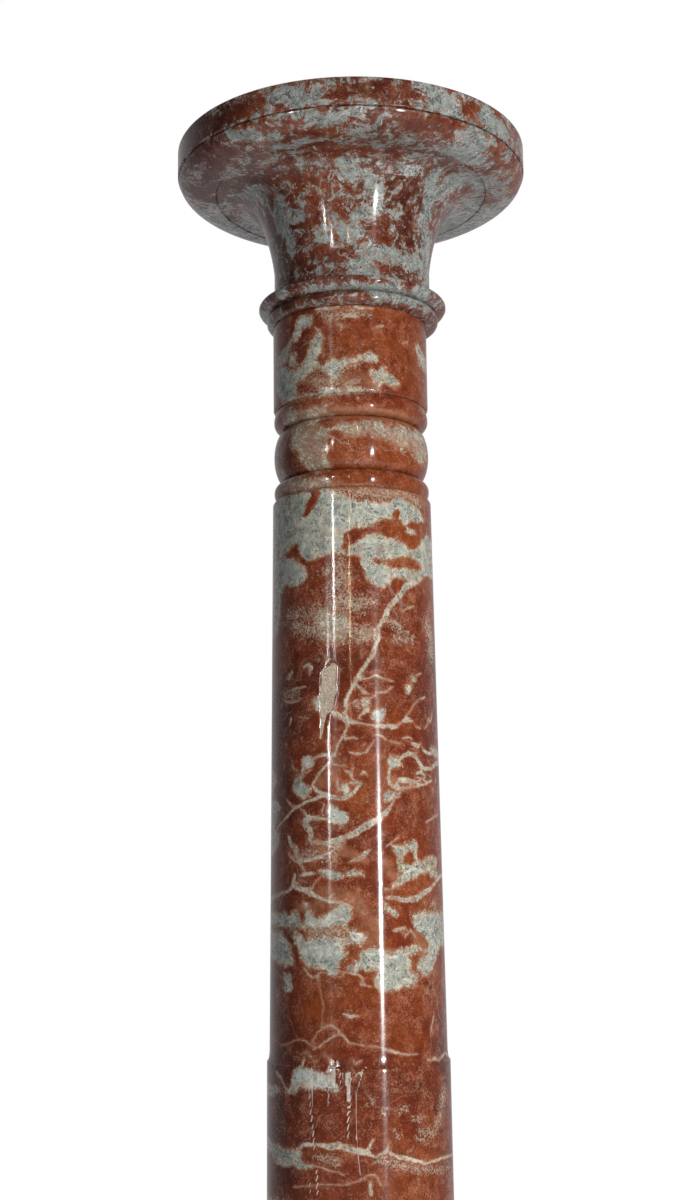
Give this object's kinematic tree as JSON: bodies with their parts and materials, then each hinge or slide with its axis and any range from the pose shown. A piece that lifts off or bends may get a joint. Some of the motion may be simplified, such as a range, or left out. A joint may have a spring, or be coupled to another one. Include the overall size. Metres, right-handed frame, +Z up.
{
  "type": "marble column",
  "caption": "Turned marble display column with a round moulded table top, a tapering shaft with neck beads, a moulded base and a square plinth.",
  "frame": {"origin": "middle of the plinth's underside, on the shaft's axis", "axes": "+Z up along the shaft's axis, X and Y along the plinth's sides, the pictured front towards -Y"},
  "size_m": [0.2904, 0.2904, 1.1],
  "materials": {
    "capital_marble": "polished red marble with fine grey-white mottle",
    "shaft_marble": "polished red marble with grey-white clouds and pale veins",
    "base_marble": "polished red marble with sparse grey clouds",
    "plinth_marble": "polished red marble with sparse grey clouds"
  },
  "bodies": {
    "root": {"capital": "capital_marble", "shaft": "shaft_marble", "base": "base_marble", "plinth": "plinth_marble"}
  },
  "joints": []
}
